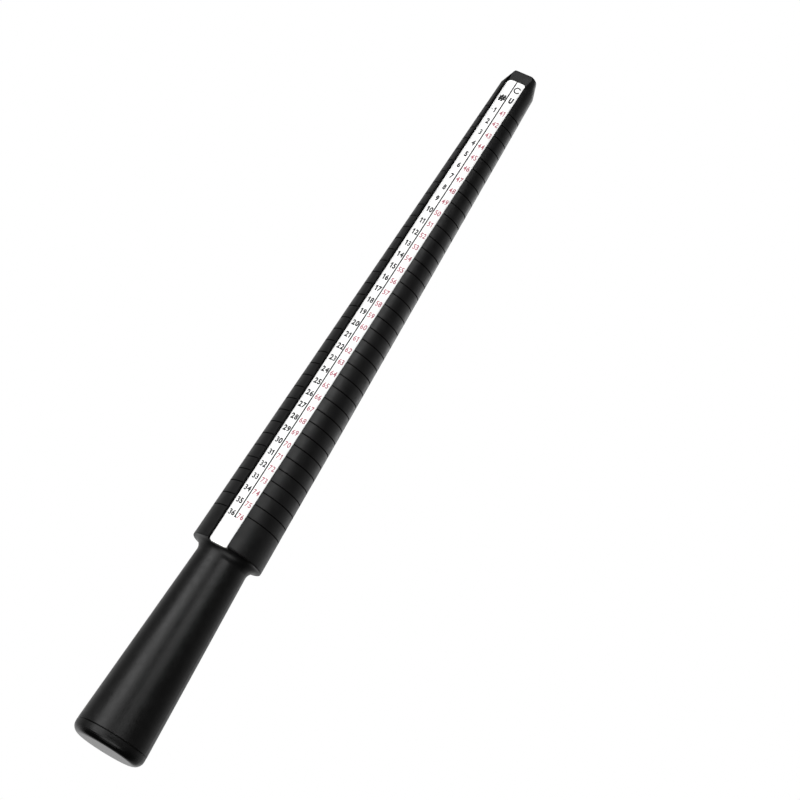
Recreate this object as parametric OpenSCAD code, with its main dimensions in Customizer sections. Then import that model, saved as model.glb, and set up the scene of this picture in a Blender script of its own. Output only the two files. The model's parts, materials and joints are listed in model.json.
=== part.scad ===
// Ring sizer stick: a tapered measuring mandrel for finger rings.
// A hollow tapered barrel carries one engraved line per ring size and two
// printed scale strips, and plugs onto a flared hand grip closed by a cap.
// Millimetres. +Z runs along the stick towards its tip, z = 0 is the flat end
// face of the cap, and the front scale strip faces -Y.
// In names, _r is a radius, _l a length, _w a width, _d a depth, _h a height,
// _t a thickness and _z a height above z = 0.

/* [Overall] */
// Length from the cap's flat face to the tip
overall_l = 263.1; // [261:0.1:264]
// Height of the joint between grip and barrel
shoulder_z = 72.6; // [72.1:0.1:73]

/* [Sizing taper] */
// First ring size (inside circumference of the ring in mm)
size_first = 41; // [40:1:42]
// Last ring size (inside circumference of the ring in mm)
size_last = 76; // [75:1:77]
// Distance along the stick between two neighbouring sizes
size_pitch = 4.64; // [4.62:0.005:4.65]
// Height of the line for the last size
size_last_z = 84.06; // [83.5:0.01:84.5]
// Width of an engraved line
line_w = 0.34; // [0.3:0.02:0.5]
// Depth of an engraved line
line_d = 0.16; // [0.1:0.02:0.3]
// Radius of the rounded lip at the wide end of the barrel
lip_r = 0.25; // [0.15:0.05:0.6]

/* [Nose] */
// Height where the nose chamfer starts
nose_z = 257.1; // [255:0.1:257.5]
// Half angle of the nose cone in degrees
nose_angle = 18; // [16:0.5:22]
// Rounding of the top edge of the nose
nose_round = 0.9; // [0.3:0.1:1.2]
// Chamfer where a channel floor meets the flat tip
floor_chamfer = 0.5; // [0.2:0.05:0.6]

/* [Scale channels] */
// Width of each flat channel
channel_w = 7.55; // [7.3:0.05:7.8]
// Distance from the axis to the channel floor at the last size
channel_floor = 9.75; // [9.65:0.05:10.2]
// Drop of the channel floor towards the axis per mm of length
channel_slope = 0.0388; // [0.0384:0.0002:0.0392]
// Width of a printed strip
strip_w = 7; // [6.8:0.05:7.25]
// Thickness of a printed strip
strip_t = 0.2; // [0.15:0.05:0.3]
// Corner radius at the lower end of a printed strip
strip_corner_low = 1.2; // [0.4:0.1:1.6]
// Corner radius at the upper end of a printed strip
strip_corner_top = 1.6; // [0.6:0.1:1.8]
// Lower end of a printed strip
strip_z0 = 72.1; // [71.7:0.1:73]
// Upper end of a printed strip
strip_z1 = 258.9; // [255:0.1:259.2]

/* [Barrel inside] */
// Radius of the socket that takes the grip's spigot
socket_r = 8.42; // [8.3:0.02:8.6]
// Depth of the socket
socket_l = 20; // [18:0.5:24]
// Core radius just past the socket
core_r0 = 8.1; // [7.6:0.1:8.2]
// Core radius at its blind end
core_r1 = 2.1; // [1.9:0.1:2.2]
// Height of the core's blind end
core_z1 = 246; // [240:1:248]

/* [Grip] */
// Radius of the grip at the cap seam
grip_r0 = 12.5; // [12.4:0.01:12.6]
// Radius of the grip at its neck
grip_r1 = 9.02; // [8.9:0.01:9.1]
// Radius of the concave flare under the barrel
flare_r = 3.3; // [2.8:0.1:3.3]
// Height of the rim between the flare and the barrel
rim_h = 0.2; // [0.2:0.02:0.5]
// Radius of that rim
rim_r = 12.42; // [12.4:0.01:12.45]
// Spigot radius
spigot_r = 8.4; // [8.2:0.02:8.4]
// Length of the spigot above the shoulder
spigot_l = 18; // [14:0.5:18]
// Bore radius of the grip at the cap
grip_bore_r = 10.05; // [10.03:0.01:10.1]
// Core radius of the grip past the cap's plug
grip_core_r0 = 9.5; // [9:0.1:9.6]
// Core radius of the grip at the neck
grip_core_r1 = 6.3; // [5.8:0.1:6.5]

/* [End cap] */
// Height of the seam between cap and grip
seam_z = 4.2; // [4:0.1:5]
// Rounding of the cap's outer edge
cap_round = 3; // [2.2:0.1:3.4]
// Outer radius of the plug skirt
plug_r = 10; // [9.95:0.01:10]
// Length of the plug skirt
plug_l = 8; // [6:0.5:8]
// Wall of the plug skirt
plug_wall = 1.6; // [1.4:0.1:2]
// Thickness of the cap's floor
cap_floor = 2; // [1.6:0.1:2.5]

/* [Hidden] */
$fn = 96;

taper = 1 / (2 * PI * size_pitch);   // radius lost per mm of height
channel_lean = atan(channel_slope);  // lean of the channel floor in degrees
cut_d = 12;                          // channel cutter, outwards from the floor
cut_below = 60;                      // channel cutter, below the last size
cut_l = 300;                         // channel cutter, whole length
strip_lift = 0.01;                   // gap between channel floor and strip

socket_chamfer = 0.6;                // at the socket's mouth
mouth_overcut = 1;                   // hollow carried on below the shoulder

seam_gap = 0.02;                     // running gap above the cap's flange
seam_bevel = 0.2;                    // small bevels that show the seam
rim_bevel = 0.08;
bore_bevel = 0.3;                    // at the grip's open end
plug_clearance = 3;                  // bore length past the end of the plug
spigot_chamfer = 0.8;
core_narrowing = 0.1;                // radius the grip's core loses above the neck
plug_chamfer_w = 0.6;
plug_chamfer_h = 0.8;

// radius of the barrel's taper at a height
function barrel_r(z) = size_last / (2 * PI) - (z - size_last_z) * taper;

// height of the line for a ring size
function size_line_z(size) = size_last_z + (size_last - size) * size_pitch;

// points on an arc, for a turned profile
function arc(centre_r, centre_z, radius, from, to, steps) =
    [for (i = [0:steps])
        let (angle = from + (to - from) * i / steps)
        [centre_r + radius * cos(angle), centre_z + radius * sin(angle)]];

// one engraved line, as four points of the turned profile
function line_points(z) =
    let (low_z = z - line_w / 2, high_z = z + line_w / 2)
    [[barrel_r(low_z), low_z],
     [barrel_r(low_z) - line_d, low_z],
     [barrel_r(high_z) - line_d, high_z],
     [barrel_r(high_z), high_z]];

// --- Channels ---

// frame of the front channel's floor: -Y points out of the floor, +Z runs up it
module on_floor() {
    translate([0, -channel_floor, size_last_z])
        rotate([-channel_lean, 0, 0])
            children();
}

module front_and_back() {
    for (turn = [0, 180])
        rotate([0, 0, turn]) children();
}

module channel_cut() {
    on_floor()
        translate([-channel_w / 2, -cut_d, -cut_below])
            cube([channel_w, cut_d, cut_l]);
}

// takes the sharp edge off the top of a channel floor
module floor_chamfer_cut() {
    tip_floor = channel_floor - (overall_l - size_last_z) * channel_slope;
    side = sqrt(2) * floor_chamfer;
    translate([0, -tip_floor, overall_l])
        rotate([45, 0, 0])
            cube([2 * channel_w, side, side], center = true);
}

// --- Barrel ---

module barrel_turning() {
    // radius where the nose cone, left unrounded, would meet the tip
    nose_r = barrel_r(nose_z) - (overall_l - nose_z) * tan(nose_angle);
    round_centre_r = nose_r - nose_round * tan(45 - nose_angle / 2);
    lip_z = shoulder_z + lip_r;
    rotate_extrude()
        polygon(concat(
            [[0, shoulder_z]],
            arc(barrel_r(lip_z) - lip_r, lip_z, lip_r, from = -90, to = 0, steps = 5),
            [for (size = [size_last:-1:size_first]) each line_points(size_line_z(size))],
            [[barrel_r(nose_z), nose_z]],
            arc(round_centre_r, overall_l - nose_round, nose_round,
                from = nose_angle, to = 90, steps = 5),
            [[0, overall_l]]));
}

// chamfered socket, then a tapering core that ends in a 45 degree cone
module barrel_hollow() {
    rotate_extrude()
        polygon([
            [0, shoulder_z - mouth_overcut],
            [socket_r + socket_chamfer, shoulder_z - mouth_overcut],
            [socket_r + socket_chamfer, shoulder_z],
            [socket_r, shoulder_z + socket_chamfer],
            [socket_r, shoulder_z + socket_l],
            [core_r0, shoulder_z + socket_l],
            [core_r1, core_z1],
            [0, core_z1 + core_r1]]);
}

module barrel() {
    color([0.07, 0.07, 0.075])
        difference() {
            barrel_turning();
            barrel_hollow();
            front_and_back() {
                channel_cut();
                floor_chamfer_cut();
            }
        }
}

// --- Grip and cap ---

// outside from the seam up to the spigot's top, then back down the inside
module handle_turning() {
    bottom_z = seam_z + seam_gap;
    bore_top_z = seam_z + plug_l + plug_clearance;
    rim_z = shoulder_z - rim_h;
    neck_z = rim_z - flare_r;
    top_z = shoulder_z + spigot_l;
    rotate_extrude()
        polygon(concat(
            [[grip_bore_r + bore_bevel, bottom_z],
             [grip_r0 - seam_bevel, bottom_z],
             [grip_r0, bottom_z + seam_bevel]],
            arc(grip_r1 + flare_r, neck_z, flare_r, from = 180, to = 90, steps = 12),
            [[rim_r - rim_bevel, rim_z],
             [rim_r, rim_z + rim_bevel],
             [rim_r, shoulder_z],
             [spigot_r, shoulder_z],
             [spigot_r, top_z - spigot_chamfer],
             [spigot_r - spigot_chamfer, top_z],
             [grip_core_r1 - core_narrowing, top_z],
             [grip_core_r1, neck_z],
             [grip_core_r0, bore_top_z],
             [grip_bore_r, bore_top_z],
             [grip_bore_r, seam_z + bore_bevel]]));
}

module handle() {
    color([0.06, 0.06, 0.065])
        difference() {
            handle_turning();
            // the channels run on through the flare's rim
            front_and_back() channel_cut();
        }
}

module end_cap() {
    plug_top_z = seam_z + plug_l;
    color([0.06, 0.06, 0.065])
        rotate_extrude()
            polygon(concat(
                [[0, 0]],
                arc(grip_r0 - cap_round, cap_round, cap_round, from = -90, to = 0, steps = 8),
                [[grip_r0, seam_z - seam_bevel],
                 [grip_r0 - seam_bevel, seam_z],
                 [plug_r, seam_z],
                 [plug_r, plug_top_z - plug_chamfer_h],
                 [plug_r - plug_chamfer_w, plug_top_z],
                 [plug_r - plug_wall, plug_top_z],
                 [plug_r - plug_wall, cap_floor],
                 [0, cap_floor]]));
}

// --- Scale strips ---

// a strip outline with rounded corners, lying along Y in the drawing plane
module strip_outline() {
    low = strip_corner_low;
    top = strip_corner_top;
    // ends of the strip, measured along the floor from the last size
    start = (strip_z0 - size_last_z) / cos(channel_lean);
    end = (strip_z1 - size_last_z) / cos(channel_lean);
    translate([-strip_w / 2, start + low]) square([strip_w, end - start - low - top]);
    translate([-strip_w / 2 + low, start]) square([strip_w - 2 * low, 2 * low]);
    translate([-strip_w / 2 + top, end - 2 * top]) square([strip_w - 2 * top, 2 * top]);
    for (side = [-1, 1]) {
        translate([side * (strip_w / 2 - low), start + low]) circle(r = low, $fn = 48);
        translate([side * (strip_w / 2 - top), end - top]) circle(r = top, $fn = 48);
    }
}

module front_scale_strip() {
    color([0.93, 0.93, 0.92])
        on_floor()
            translate([0, -strip_lift, 0])
                rotate([90, 0, 0])
                    linear_extrude(height = strip_t) strip_outline();
}

module back_scale_strip() {
    rotate([0, 0, 180]) front_scale_strip();
}

barrel();
handle();
end_cap();
front_scale_strip();
back_scale_strip();
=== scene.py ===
"""Ring sizer stick: materials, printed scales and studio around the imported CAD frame.

Metres. +Z runs along the stick from the end cap to the tip, and the front scale strip
faces -Y. The stick's own sizes are in mm and are scaled by MM.
"""
import functools
import json
import math

import bpy
import bmesh
from mathutils import Matrix, Vector

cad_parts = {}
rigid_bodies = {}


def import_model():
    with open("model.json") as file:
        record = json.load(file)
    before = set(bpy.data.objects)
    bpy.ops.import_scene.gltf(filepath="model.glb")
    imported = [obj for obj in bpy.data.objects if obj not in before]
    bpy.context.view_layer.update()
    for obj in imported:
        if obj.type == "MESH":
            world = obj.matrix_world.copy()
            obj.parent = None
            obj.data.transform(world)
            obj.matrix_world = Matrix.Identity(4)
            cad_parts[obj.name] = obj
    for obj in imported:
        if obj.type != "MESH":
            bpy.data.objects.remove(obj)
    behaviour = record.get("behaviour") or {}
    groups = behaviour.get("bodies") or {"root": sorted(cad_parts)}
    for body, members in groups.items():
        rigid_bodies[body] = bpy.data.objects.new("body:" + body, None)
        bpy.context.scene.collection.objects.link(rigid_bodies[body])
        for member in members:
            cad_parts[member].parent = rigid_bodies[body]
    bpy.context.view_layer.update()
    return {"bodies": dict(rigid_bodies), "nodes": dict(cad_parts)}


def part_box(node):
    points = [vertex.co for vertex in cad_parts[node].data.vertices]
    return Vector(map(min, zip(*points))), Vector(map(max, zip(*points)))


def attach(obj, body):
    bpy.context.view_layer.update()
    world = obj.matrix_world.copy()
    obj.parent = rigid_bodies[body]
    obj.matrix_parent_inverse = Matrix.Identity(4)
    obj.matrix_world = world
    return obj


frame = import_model()
nodes = frame["nodes"]
scene = bpy.context.scene
MM = 0.001

# ---------------------------------------------------------------- sizes, in mm
# A ring size is its inside circumference in mm; each has an engraved line round the taper.
SIZE_FIRST, SIZE_LAST = 41, 76
SIZE_COUNT = SIZE_LAST - SIZE_FIRST + 1
PITCH = 4.64              # between engraved lines
LAST_Z = 84.06            # height of the largest size's line
LINE_WIDTH = 0.34
CHANNEL_WIDTH = 7.55      # the channels that hold the strips
FLOOR_RADIUS = 9.75       # from the axis to a channel's floor, at LAST_Z
FLOOR_ANGLE = math.atan(0.0388)
STRIP_THICKNESS = 0.2
STRIP_END_Z = 257.0       # above this the channel floor is bare


def size_z(size):
    return LAST_Z + (SIZE_LAST - size) * PITCH


# ---------------------------------------------------------------- node helpers
# Sockets of a Mix node in colour mode, which share their names with other modes.
MIX_FACTOR, MIX_A, MIX_B, MIX_RESULT = 0, 6, 7, 2


def feed(tree, node, inputs):
    """Link each socket given, and store each plain value, by input name or index."""
    for key, value in inputs.items():
        if isinstance(value, bpy.types.NodeSocket):
            tree.links.new(value, node.inputs[key])
        else:
            node.inputs[key].default_value = value


def add(tree, kind, inputs=None, **settings):
    node = tree.nodes.new("ShaderNode" + kind)
    for key, value in settings.items():
        setattr(node, key, value)
    feed(tree, node, inputs or {})
    return node


def new_material(name):
    material = bpy.data.materials.new(name)
    material.use_nodes = True
    tree = material.node_tree
    tree.nodes.clear()
    output = add(tree, "OutputMaterial")
    bsdf = add(tree, "BsdfPrincipled")
    tree.links.new(bsdf.outputs["BSDF"], output.inputs["Surface"])
    return material, tree, bsdf, output


def calc(tree, operation, *operands, clamp=False):
    return add(tree, "Math", dict(enumerate(operands)),
               operation=operation, use_clamp=clamp).outputs[0]


def noise(tree, coords, scale, detail, roughness=0.5):
    return add(tree, "TexNoise", {"Scale": scale, "Detail": detail, "Roughness": roughness,
                                  "Vector": coords}).outputs["Fac"]


def ramp(tree, value, over, give):
    """Ease from give[0] to give[1] as value goes from over[0] to over[1]."""
    return add(tree, "MapRange", {
        "From Min": over[0], "From Max": over[1], "To Min": give[0], "To Max": give[1],
        "Value": value}, interpolation_type="SMOOTHSTEP").outputs["Result"]


def colour_mix(tree, colour_a, colour_b):
    return add(tree, "Mix", {MIX_A: (*colour_a, 1), MIX_B: (*colour_b, 1)}, data_type="RGBA")


def object_coords(tree):
    return add(tree, "TexCoord").outputs["Object"]


def split_xyz(tree, vector):
    return add(tree, "SeparateXYZ", {0: vector}).outputs


# ---------------------------------------------------------------- materials
def barrel_marks(tree, coords):
    """Masks on the barrel: (engraved lines and channel walls, darkened with painted shade and
    dulled; bare channel floor, dulled only).
    """
    place = split_xyz(tree, coords)
    z = place["Z"]
    # distance to the nearest engraved line, in pitches
    pitches = calc(tree, "DIVIDE", calc(tree, "SUBTRACT", z, LAST_Z * MM), PITCH * MM)
    distance = calc(tree, "ABSOLUTE",
                    calc(tree, "SUBTRACT", pitches, calc(tree, "ROUND", pitches)))
    half_line = 0.5 * LINE_WIDTH / PITCH
    lines = ramp(tree, distance, over=(half_line, half_line * 1.3), give=(1.0, 0.0))
    above = calc(tree, "GREATER_THAN", z, (LAST_Z - 1.0) * MM)
    below = calc(tree, "LESS_THAN", z, (size_z(SIZE_FIRST) + 1.0) * MM)
    lines = calc(tree, "MULTIPLY", lines, calc(tree, "MULTIPLY", above, below))

    def faces_along(axis):
        return calc(tree, "GREATER_THAN", calc(tree, "ABSOLUTE", normal[axis]), 0.97)

    # the side walls of the channels face along X
    normal = split_xyz(tree, add(tree, "NewGeometry").outputs["True Normal"])
    near_channel = calc(tree, "LESS_THAN", calc(tree, "ABSOLUTE", place["X"]),
                        (CHANNEL_WIDTH / 2 + 0.05) * MM)
    walls = calc(tree, "MULTIPLY", faces_along("X"), near_channel)
    bare = calc(tree, "MULTIPLY", calc(tree, "GREATER_THAN", z, STRIP_END_Z * MM),
                faces_along("Y"))
    return calc(tree, "MAXIMUM", lines, walls), bare


def black_plastic(name, base, roughness, marks=False, smooth_end=False):
    """Satin black moulded plastic with a fine grain.

    marks paints shade into the barrel's engraved lines and channel walls, and dulls them and
    the bare channel floor; smooth_end polishes the cap's lower end.
    """
    material, tree, bsdf, _ = new_material(name)
    coords = object_coords(tree)
    broad = noise(tree, coords, scale=60.0, detail=3.0)
    fine = noise(tree, coords, scale=2600.0, detail=3.0, roughness=0.6)
    medium = noise(tree, coords, scale=500.0, detail=2.0)
    rough = calc(
        tree, "ADD",
        ramp(tree, broad, over=(0.3, 0.7), give=(roughness - 0.03, roughness + 0.03)),
        ramp(tree, medium, over=(0.3, 0.7), give=(-0.04, 0.04)))
    # the second colour is painted shade, a near-black laid into the engraved lines and onto the
    # channel walls
    colour = colour_mix(tree, base, (0.0008, 0.0008, 0.0008))
    if marks:
        # painted shade darkens the lines and channel walls, which are also rougher and less
        # glossy; the bare channel floor is only less glossy
        painted_shade_mask, bare = barrel_marks(tree, coords)
        feed(tree, colour, {MIX_FACTOR: painted_shade_mask})
        rough = calc(tree, "ADD", rough, calc(tree, "MULTIPLY", painted_shade_mask, 0.2), clamp=True)
        dull = calc(tree, "MAXIMUM", calc(tree, "MULTIPLY", painted_shade_mask, 0.44),
                    calc(tree, "MULTIPLY", bare, 0.22))
        feed(tree, bsdf, {"Specular IOR Level": calc(tree, "SUBTRACT", 0.5, dull)})
    else:
        feed(tree, colour, {MIX_FACTOR: 0.0})
    if smooth_end:
        z = split_xyz(tree, coords)["Z"]
        rough = calc(tree, "MULTIPLY", rough,
                     ramp(tree, z, over=(0.2 * MM, 2.6 * MM), give=(0.36, 1.0)))
    bump = add(tree, "Bump", {"Strength": 0.16, "Distance": 0.00006, "Height": fine})
    feed(tree, bsdf, {"Base Color": colour.outputs[MIX_RESULT], "Roughness": rough,
                      "Normal": bump.outputs["Normal"]})
    return material


def vinyl(name):
    """White strip stock, very slightly uneven in tone."""
    material, tree, bsdf, _ = new_material(name)
    soft = noise(tree, object_coords(tree), scale=90.0, detail=3.0)
    colour = colour_mix(tree, (0.90, 0.90, 0.895), (0.93, 0.93, 0.925))
    feed(tree, colour, {MIX_FACTOR: soft})
    feed(tree, bsdf, {"Base Color": colour.outputs[MIX_RESULT], "Roughness": 0.5,
                      "Specular IOR Level": 0.35})
    return material


def ink(name, colour):
    material, tree, bsdf, _ = new_material(name)
    feed(tree, bsdf, {"Base Color": (*colour, 1), "Roughness": 0.5,
                      "Specular IOR Level": 0.3})
    return material


barrel_black = black_plastic("barrel_black", base=(0.0026, 0.0026, 0.0027),
                             roughness=0.40, marks=True)
grip_black = black_plastic("grip_black", base=(0.0012, 0.0012, 0.0012), roughness=0.36)
cap_black = black_plastic("cap_black", base=(0.0012, 0.0012, 0.0012),
                          roughness=0.36, smooth_end=True)
strip_white = vinyl("strip_white")
ink_black = ink("ink_black", (0.008, 0.008, 0.009))
ink_red = ink("ink_red", (0.40, 0.13, 0.165))


def dress(obj, material):
    if not obj.data.materials:
        obj.data.materials.append(material)
    for slot in obj.material_slots:
        slot.material = material


dress(nodes["barrel"], barrel_black)
dress(nodes["handle"], grip_black)
dress(nodes["end_cap"], cap_black)
dress(nodes["front_scale_strip"], strip_white)
dress(nodes["back_scale_strip"], strip_white)

# ---------------------------------------------------------------- printing frame
# Local drawing frame on a strip: x across, y up the stick, z out of the strip, in mm.
INK_THICKNESS = 0.03
SURFACE = STRIP_THICKNESS + 0.01      # mid-thickness of the ink, its underside in the strip
ON_STRIP = (Matrix.Scale(MM, 4) @ Matrix.Translation((0, -FLOOR_RADIUS, LAST_Z))
            @ Matrix.Rotation(-FLOOR_ANGLE, 4, "X")
            @ Matrix(((1, 0, 0, 0), (0, 0, -1, -SURFACE), (0, 1, 0, 0), (0, 0, 0, 1))))


def along(z):
    """Local y of the height z on the strip's surface."""
    return (z - LAST_Z - SURFACE * math.sin(FLOOR_ANGLE)) / math.cos(FLOOR_ANGLE)


# ---------------------------------------------------------------- glyphs
# Glyphs are in font units, one unit to the font size.
HEAVIEST = {"3": 0.034, "8": 0.044}      # any bolder and their inner corners cross


def flagged_one(bold):
    """A 1 with a flag, as wide as the other digits; the built-in one is a bare stroke."""
    left, right = 0.202 - bold, 0.300 + bold      # sides of the stem
    low, top = -bold, 0.682 + bold
    stem = right - left
    flag_x, flag_top = 0.065 - bold, top - 0.15   # the flag's outer end
    outline = [(left, low), (right, low), (right, top), (left, top), (left, top - 1.15 * stem),
               (flag_x, flag_top), (flag_x, flag_top - 0.95 * stem)]
    points = [Vector((x, y, 0)) for x, y in outline]
    return points, [[0, 1, 2, 3, 4], [3, 5, 6, 4]], 0.03, 0.42


@functools.cache
def glyph(char, bold=0.0):
    """(points, faces, left, right) of a character on its baseline; bold swells its strokes."""
    bold = min(bold, HEAVIEST.get(char, bold))
    if char == "1":
        return flagged_one(bold)
    curve = bpy.data.curves.new("glyph", "FONT")
    curve.body = char
    curve.size = 1.0
    curve.offset = bold
    curve.resolution_u = 4
    obj = bpy.data.objects.new("glyph", curve)
    scene.collection.objects.link(obj)
    bpy.context.view_layer.update()
    depsgraph = bpy.context.evaluated_depsgraph_get()
    mesh = bpy.data.meshes.new_from_object(obj.evaluated_get(depsgraph))
    points = [v.co.copy() for v in mesh.vertices]
    faces = [list(p.vertices) for p in mesh.polygons]
    bpy.data.objects.remove(obj)
    bpy.data.curves.remove(curve)
    bpy.data.meshes.remove(mesh)
    return points, faces, min(p.x for p in points), max(p.x for p in points)


# Every text is scaled by the height of a plain 0.
zero_points = glyph("0")[0]
GLYPH_TOP = max(p.y for p in zero_points)
GLYPH_BOTTOM = min(p.y for p in zero_points)


class Print:
    """Collects flat marks and turns them into one thin closed mesh."""

    def __init__(self):
        self.bm = bmesh.new()

    def add_points(self, points):
        return [self.bm.verts.new((x, y, 0)) for x, y in points]

    def polygon(self, points):
        self.bm.faces.new(self.add_points(points))

    def rect(self, x, y, width, height):
        left, right = x - width / 2, x + width / 2
        low, high = y - height / 2, y + height / 2
        self.polygon([(left, low), (right, low), (right, high), (left, high)])

    def open_ring(self, x, y, radius, thickness, gap, segments=40):
        """A ring with a gap on its right, gap degrees to each side."""
        start, step = math.radians(gap), math.radians(360 - 2 * gap) / segments
        angles = [start + i * step for i in range(segments + 1)]
        outer, inner = (
            self.add_points([(x + r * math.cos(a), y + r * math.sin(a)) for a in angles])
            for r in (radius, radius - thickness))
        for i in range(segments):
            self.bm.faces.new((outer[i], outer[i + 1], inner[i + 1], inner[i]))

    def text(self, string, x, y, height, squeeze=0.82, gap=0.07, bold=0.0):
        """Text centred on x, y; squeeze narrows the glyphs, gap is a fraction of height."""
        scale = height / (GLYPH_TOP - GLYPH_BOTTOM)
        middle = (GLYPH_TOP + GLYPH_BOTTOM) / 2
        parts, pen = [], 0.0
        for char in string:
            points, faces, left, right = glyph(char, bold)
            parts.append((points, faces, left, pen))
            pen += (right - left) * scale * squeeze + gap * height
        width = pen - gap * height
        for points, faces, left, pen in parts:
            verts = self.add_points([(x - width / 2 + pen + (p.x - left) * scale * squeeze,
                                      y + (p.y - middle) * scale) for p in points])
            for face in faces:
                self.bm.faces.new([verts[i] for i in face])

    def number(self, value, x, y, bold):
        self.text(str(value), x, y, DIGIT_HEIGHT, bold=bold)

    def build(self, name, material, back=False):
        bm = self.bm
        for face in bm.faces:
            face.normal_update()
            if face.normal.z < 0:
                face.normal_flip()
        bmesh.ops.remove_doubles(bm, verts=bm.verts, dist=0.003)
        extruded = bmesh.ops.extrude_face_region(bm, geom=bm.faces[:])
        top = [g for g in extruded["geom"] if isinstance(g, bmesh.types.BMVert)]
        bmesh.ops.translate(bm, verts=top, vec=(0, 0, INK_THICKNESS))
        bmesh.ops.translate(bm, verts=bm.verts, vec=(0, 0, -INK_THICKNESS / 2))
        bmesh.ops.recalc_face_normals(bm, faces=bm.faces)
        mesh = bpy.data.meshes.new(name)
        bm.to_mesh(mesh)
        bm.free()
        mesh.transform(Matrix.Rotation(math.pi, 4, "Z") @ ON_STRIP if back else ON_STRIP)
        mesh.materials.append(material)
        obj = bpy.data.objects.new(name, mesh)
        scene.collection.objects.link(obj)
        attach(obj, "stick")


# ---------------------------------------------------------------- front scale
LEFT, MIDDLE, RIGHT = -1.84, -0.24, 1.44      # the two columns and the rule between them
DIGIT_HEIGHT = 1.85
RULE_WIDTH = 0.46
BOLD_BLACK, BOLD_RED = 0.048, 0.026
# The printing is a little askew and stretched against the engraved lines.
NUMBER_LIFT = 0.01        # above its line, before the stretch
STRETCH = 0.63            # how far the last number sinks
BLACK_SHIFT, BLACK_DRIFT = 0.28, 0.009        # black column: to the right, then left per row
RED_DROP = 0.19           # red numbers sit lower than black ones

rule_top = along(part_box("front_scale_strip")[1].z / MM) - 0.05
rule_end = along(size_z(SIZE_LAST) - 1.8)


def print_front():
    """Row numbers in black on the left, ring sizes in red on the right."""
    black, red = Print(), Print()
    for row in range(1, SIZE_COUNT + 1):
        size = SIZE_FIRST + row - 1
        y = along(size_z(size) + NUMBER_LIFT - STRETCH * (row / SIZE_COUNT) ** 2)
        black.number(row, LEFT + BLACK_SHIFT - BLACK_DRIFT * row, y, BOLD_BLACK)
        red.number(size, RIGHT, y - RED_DROP, BOLD_RED)
    # a dash beside the first number
    black.rect(LEFT - 0.73, along(size_z(SIZE_FIRST)), width=0.6, height=0.24)
    # the rule, with a short foot to the right
    edge = MIDDLE + RULE_WIDTH / 2
    foot_x, foot_top = edge + 0.32, rule_end + RULE_WIDTH
    black.polygon([(edge - RULE_WIDTH, rule_top), (edge - RULE_WIDTH, rule_end),
                   (foot_x, rule_end), (foot_x, foot_top), (edge, foot_top), (edge, rule_top)])
    # headings: # on the left, an open ring over a U on the right
    black.text("#", LEFT + 0.12, along(251.8), height=2.2, squeeze=1.05, bold=0.068)
    black.open_ring(RIGHT + 0.06, along(256.0), radius=1.26, thickness=0.46, gap=33)
    black.text("U", RIGHT + 0.12, along(251.7), height=1.85, squeeze=0.74, bold=0.085)
    black.build("front_print_black", ink_black)
    red.build("front_print_red", ink_red)


print_front()

# ---------------------------------------------------------------- back scale
HEADING_Z = 254.4


def half_step_scale(first, last, diameter_of, side, bold):
    """Ticks every half unit and numbers every whole one, each true to the taper.

    diameter_of gives the inside diameter in mm; side is -1 or 1, left or right of the rule.
    """
    target = Print()
    for halves in range(int(2 * first), int(2 * last) + 1):
        y = along(size_z(math.pi * diameter_of(halves / 2)))
        whole = halves % 2 == 0
        tick = 0.7 if whole else 0.5
        target.rect(side * tick / 2, y, width=tick, height=0.16)
        if whole:
            target.number(halves // 2, side * 2.1, y, bold)
    return target


def print_back():
    """Inside diameters in mm in black, numbered sizes with halves in red."""
    black = half_step_scale(13.5, 24, lambda diameter: diameter, side=-1, bold=BOLD_BLACK)
    red = half_step_scale(2, 15, lambda size: 11.63 + 0.8128 * size, side=1, bold=BOLD_RED)
    black.rect(0, (rule_top + rule_end) / 2, width=RULE_WIDTH, height=rule_top - rule_end)
    black.text("mm", -1.8, along(HEADING_Z), height=1.9, squeeze=0.72, gap=0.1, bold=0.02)
    black.text("#", 1.8, along(HEADING_Z), height=2.1, squeeze=1.1, bold=0.04)
    black.build("back_print_black", ink_black, back=True)
    red.build("back_print_red", ink_red, back=True)


print_back()

# ---------------------------------------------------------------- camera
STRIP_TURN = math.radians(23.7)      # the front strip faces this far left of the lens
TILT, ROLL, PAN = 0.25890, 0.55924, -0.02215      # radians: up, anticlockwise, left
CAMERA_DISTANCE, CAMERA_Z = 0.91678, -0.09717


def add_camera():
    turn = Matrix.Rotation(STRIP_TURN, 3, "Z")
    aim = Matrix.Rotation(TILT, 3, "X") @ Matrix.Rotation(PAN, 3, "Z")
    level_right, forward, level_up = (aim.col[i].copy() for i in range(3))
    right = turn @ (math.cos(ROLL) * level_right + math.sin(ROLL) * level_up)
    up = turn @ (-math.sin(ROLL) * level_right + math.cos(ROLL) * level_up)
    forward = turn @ forward
    eye = turn @ Vector((0, -CAMERA_DISTANCE, CAMERA_Z))
    data = bpy.data.cameras.new("camera")
    data.sensor_width = 36.0
    data.sensor_fit = "HORIZONTAL"
    data.lens = 131.895
    data.shift_x, data.shift_y = -0.000225, 0.0001375
    data.clip_start, data.clip_end = 0.01, 20.0
    camera = bpy.data.objects.new("camera", data)
    camera.matrix_world = Matrix((
        (right.x, up.x, -forward.x, eye.x),
        (right.y, up.y, -forward.y, eye.y),
        (right.z, up.z, -forward.z, eye.z),
        (0, 0, 0, 1)))
    scene.collection.objects.link(camera)
    scene.camera = camera


add_camera()

# ---------------------------------------------------------------- lights
# Level directions from the stick: towards the lens, and to the lens's right.
to_camera = Vector((math.sin(STRIP_TURN), -math.cos(STRIP_TURN), 0))
to_right = Vector((math.cos(STRIP_TURN), math.sin(STRIP_TURN), 0))
LOW, HIGH = (-0.72, 0.40), (0.40, 1.10)       # height ranges of lower and upper panels
REACH, STEP = 1.1, 15                         # distance, and degrees between panels


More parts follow.
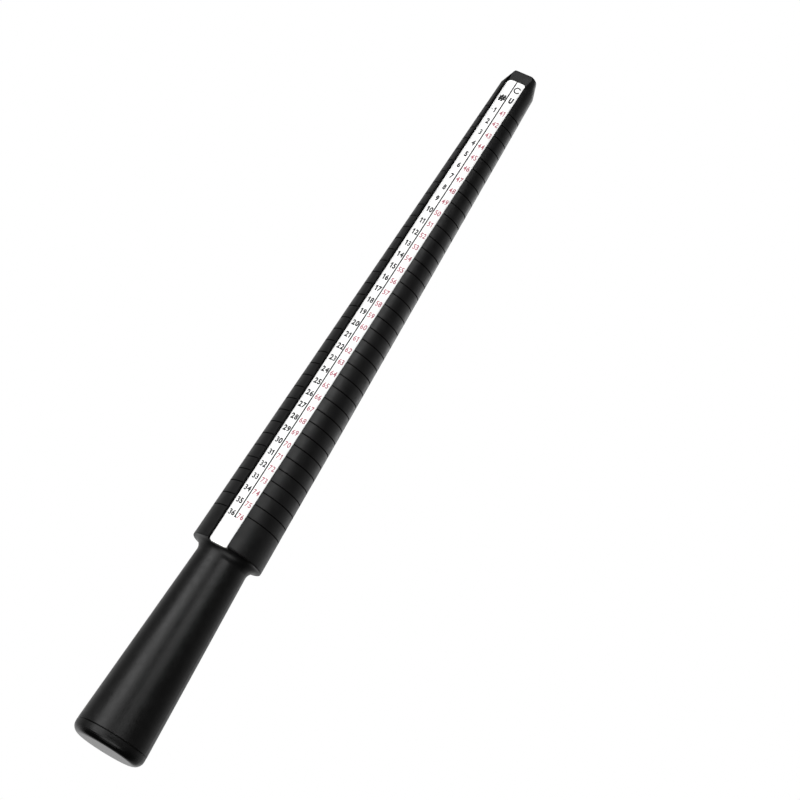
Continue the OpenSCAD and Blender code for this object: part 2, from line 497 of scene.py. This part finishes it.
def area_light(name, width, height, radiance, location, rotation, glossy=True):
    data = bpy.data.lights.new(name, "AREA")
    data.shape = "RECTANGLE"
    data.size, data.size_y = width, height
    data.energy = radiance * math.pi * data.size * data.size_y
    obj = bpy.data.objects.new(name, data)
    obj.location = location
    obj.rotation_euler = rotation
    scene.collection.objects.link(obj)
    obj.visible_glossy = glossy
    obj.visible_camera = False


def panels(name, azimuths, heights, radiance, glossy=True):
    """Upright soft panels round the stick, in degrees from the lens (positive to its right)."""
    low, high = heights
    for i, azimuth in enumerate(azimuths):
        angle = math.radians(azimuth)
        outward = to_camera * math.cos(angle) + to_right * math.sin(angle)
        area_light(f"{name}_{i}", width=2 * REACH * math.tan(math.radians(STEP / 2)),
                   height=high - low, radiance=radiance,
                   location=outward * REACH + Vector((0, 0, (low + high) / 2)),
                   rotation=outward.to_track_quat("Z", "Y").to_euler(), glossy=glossy)


# name, azimuths, heights, radiance
PANELS = [
    ("key_low", (-60, -45), LOW, 1.73),
    ("key_edge", (-30,), LOW, 1.09),
    ("key_high", (-60, -45), HIGH, 3.13),
    ("front_high", (0, 15), HIGH, 3.47),
    ("side_left", (-90, -75), LOW, 0.17),
    ("side_right", (90, 105, 120), HIGH, 0.40),
    ("back_right", (135, 150), HIGH, 1.23),
]
for panel in PANELS:
    panels(*panel)
# flat, facing up, below and in front of the stick
area_light("low_front", width=1.0, height=0.9, radiance=1.1,
           location=to_camera * 0.80 + Vector((0, 0, -0.75)),
           rotation=(math.pi, 0, math.atan2(to_camera.y, to_camera.x)))
# these even out the white strips, front and back, without showing in the black plastic
panels("front_soft", (-15, 0, 15, 30), LOW, radiance=2.7, glossy=False)
panels("back_soft", (150, 165, 180), LOW, radiance=3.0, glossy=False)


# ---------------------------------------------------------------- world
def add_world():
    """White to the camera; to everything else a dim surround with a brighter backdrop."""
    world = bpy.data.worlds.new("studio")
    scene.world = world
    world.use_nodes = True
    tree = world.node_tree
    tree.nodes.clear()
    output = add(tree, "OutputWorld")
    seen = add(tree, "Background", {"Color": (1, 1, 1, 1), "Strength": 1.0})
    direction = add(tree, "TexCoord").outputs["Generated"]

    def facing(x, y):
        return add(tree, "VectorMath", {0: direction, 1: (x, y, 0)},
                   operation="DOT_PRODUCT").outputs["Value"]

    away = facing(-to_camera.x, -to_camera.y)
    rightward = facing(to_right.x, to_right.y)
    height = split_xyz(tree, direction)["Z"]
    # the backdrop: lit from a little under the stick to well over it, and more on the left
    # low down
    upper = ramp(tree, height, over=(-0.38, -0.22), give=(0.0, 1.0))
    lower = calc(tree, "SUBTRACT",
                 ramp(tree, height, over=(-0.75, -0.42), give=(0.0, 1.0)), upper)
    lower = calc(tree, "MULTIPLY", lower,
                 ramp(tree, rightward, over=(-0.25, 0.25), give=(1.5, 0.4)))
    upper = calc(tree, "MULTIPLY", upper,
                 ramp(tree, height, over=(0.35, 0.70), give=(1.0, 0.0)))
    backdrop = calc(tree, "MULTIPLY", ramp(tree, away, over=(0.0, 1.0), give=(0.0, 0.50)),
                    calc(tree, "ADD", upper, lower))
    strength = calc(tree, "ADD", ramp(tree, height, over=(-0.5, 0.0), give=(0.02, 0.07)),
                    backdrop)
    lighting = add(tree, "Background", {"Color": (1, 1, 1, 1), "Strength": strength})
    mix = add(tree, "MixShader", {0: add(tree, "LightPath").outputs["Is Camera Ray"],
                                  1: lighting.outputs[0], 2: seen.outputs[0]})
    feed(tree, output, {"Surface": mix.outputs[0]})


add_world()


# ---------------------------------------------------------------- floor
def floor_material():
    """Pale, seen only from above, fading out with distance into the white surround."""
    material, tree, bsdf, output = new_material("floor_pale")
    feed(tree, bsdf, {"Base Color": (0.86, 0.86, 0.86, 1), "Roughness": 0.7,
                      "Specular IOR Level": 0.2, "Emission Color": (1, 1, 1, 1),
                      "Emission Strength": 0.30})
    geometry = add(tree, "NewGeometry").outputs
    clear = add(tree, "BsdfTransparent")
    length = add(tree, "VectorMath", {0: geometry["Position"]}, operation="LENGTH")
    fade = ramp(tree, length.outputs["Value"], over=(0.2, 1.0), give=(0.0, 1.0))
    hide = calc(tree, "MAXIMUM", fade, geometry["Backfacing"])
    mix = add(tree, "MixShader", {0: hide, 1: bsdf.outputs[0], 2: clear.outputs[0]})
    feed(tree, output, {"Surface": mix.outputs[0]})
    return material


def add_floor():
    """A disc that stays just under the end cap."""
    bm = bmesh.new()
    bmesh.ops.create_circle(bm, cap_ends=True, radius=1.05, segments=96)
    mesh = bpy.data.meshes.new("floor")
    bm.to_mesh(mesh)
    bm.free()
    floor = bpy.data.objects.new("floor", mesh)
    floor.location.z = -0.0002
    scene.collection.objects.link(floor)
    under = floor.constraints.new("COPY_LOCATION")
    under.target = frame["bodies"]["end_cap"]
    under.use_x, under.use_y, under.use_offset = False, False, True
    mesh.materials.append(floor_material())
    floor.visible_diffuse = False
    floor.visible_glossy = False
    floor.visible_transmission = False
    floor.visible_shadow = False


add_floor()

scene.view_settings.view_transform = "Standard"
scene.view_settings.look = "None"
